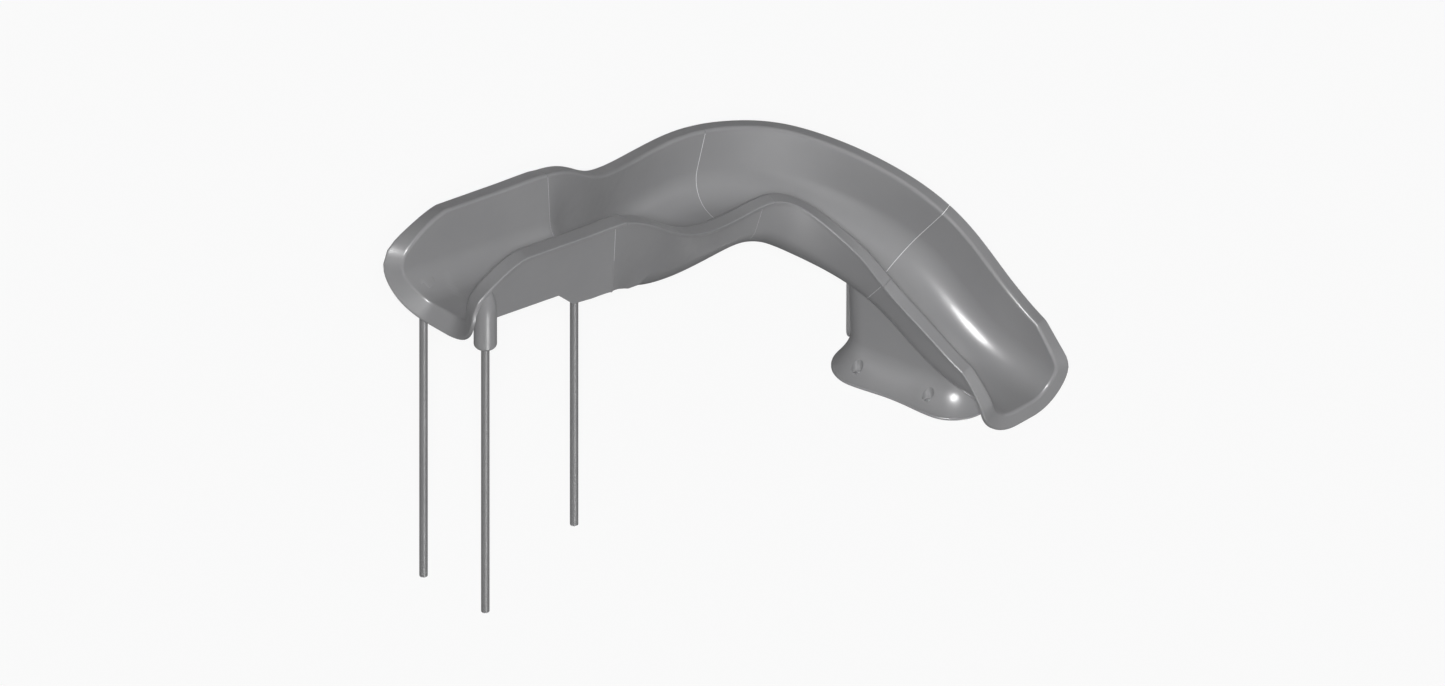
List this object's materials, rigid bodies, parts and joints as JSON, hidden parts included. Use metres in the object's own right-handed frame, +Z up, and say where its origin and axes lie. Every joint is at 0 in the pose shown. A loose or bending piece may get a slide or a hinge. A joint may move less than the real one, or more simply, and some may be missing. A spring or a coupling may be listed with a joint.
{
  "type": "pool slide",
  "caption": "Open moulded water slide with a rolled rim, a gentle bend and a right-hand turn, standing on slim poles and a hollow flared pedestal.",
  "frame": {"origin": "middle of the bounding box in plan, on the deck", "axes": "+X the way a rider starts down the entry, +Z up; the rider leaves along -Y"},
  "size_m": [4.088, 1.8164, 2.4296],
  "materials": {
    "moulding": "semi-gloss moulded plastic",
    "pole": "satin coated steel tube",
    "stainless": "plain stainless",
    "rubber": "matte, pale grey",
    "fitting": "matte"
  },
  "bodies": {
    "root": {"entry_section": "moulding", "middle_section": "moulding", "curve_section": "moulding", "exit_section": "moulding", "pedestal": "moulding", "joint_seal_1": "rubber", "joint_seal_2": "rubber", "joint_seal_3": "rubber", "joint_1_bolt_1": "stainless", "joint_1_bolt_2": "stainless", "joint_1_bolt_3": "stainless", "joint_1_bolt_4": "stainless", "joint_2_bolt_1": "stainless", "joint_2_bolt_2": "stainless", "joint_2_bolt_3": "stainless", "joint_3_bolt_1": "stainless", "joint_3_bolt_2": "stainless", "joint_3_bolt_3": "stainless", "pole_front_left": "pole", "pole_plug_front_left": "rubber", "pole_bolt_front_left": "stainless", "pole_front_right": "pole", "pole_plug_front_right": "rubber", "pole_bolt_front_right": "stainless", "pole_rear": "pole", "pole_plug_rear": "rubber", "pole_bolt_rear": "stainless", "saddle_bolt_1": "stainless", "saddle_bolt_2": "stainless", "saddle_bolt_3": "stainless", "saddle_bolt_4": "stainless", "pedestal_washer_1": "stainless", "pedestal_anchor_bolt_1": "stainless", "pedestal_washer_2": "stainless", "pedestal_anchor_bolt_2": "stainless", "pedestal_washer_3": "stainless", "pedestal_anchor_bolt_3": "stainless", "pedestal_washer_4": "stainless", "pedestal_anchor_bolt_4": "stainless", "water_nozzle": "fitting", "nozzle_gasket": "rubber", "nozzle_locknut": "fitting", "hose_barb": "fitting"}
  },
  "joints": []
}
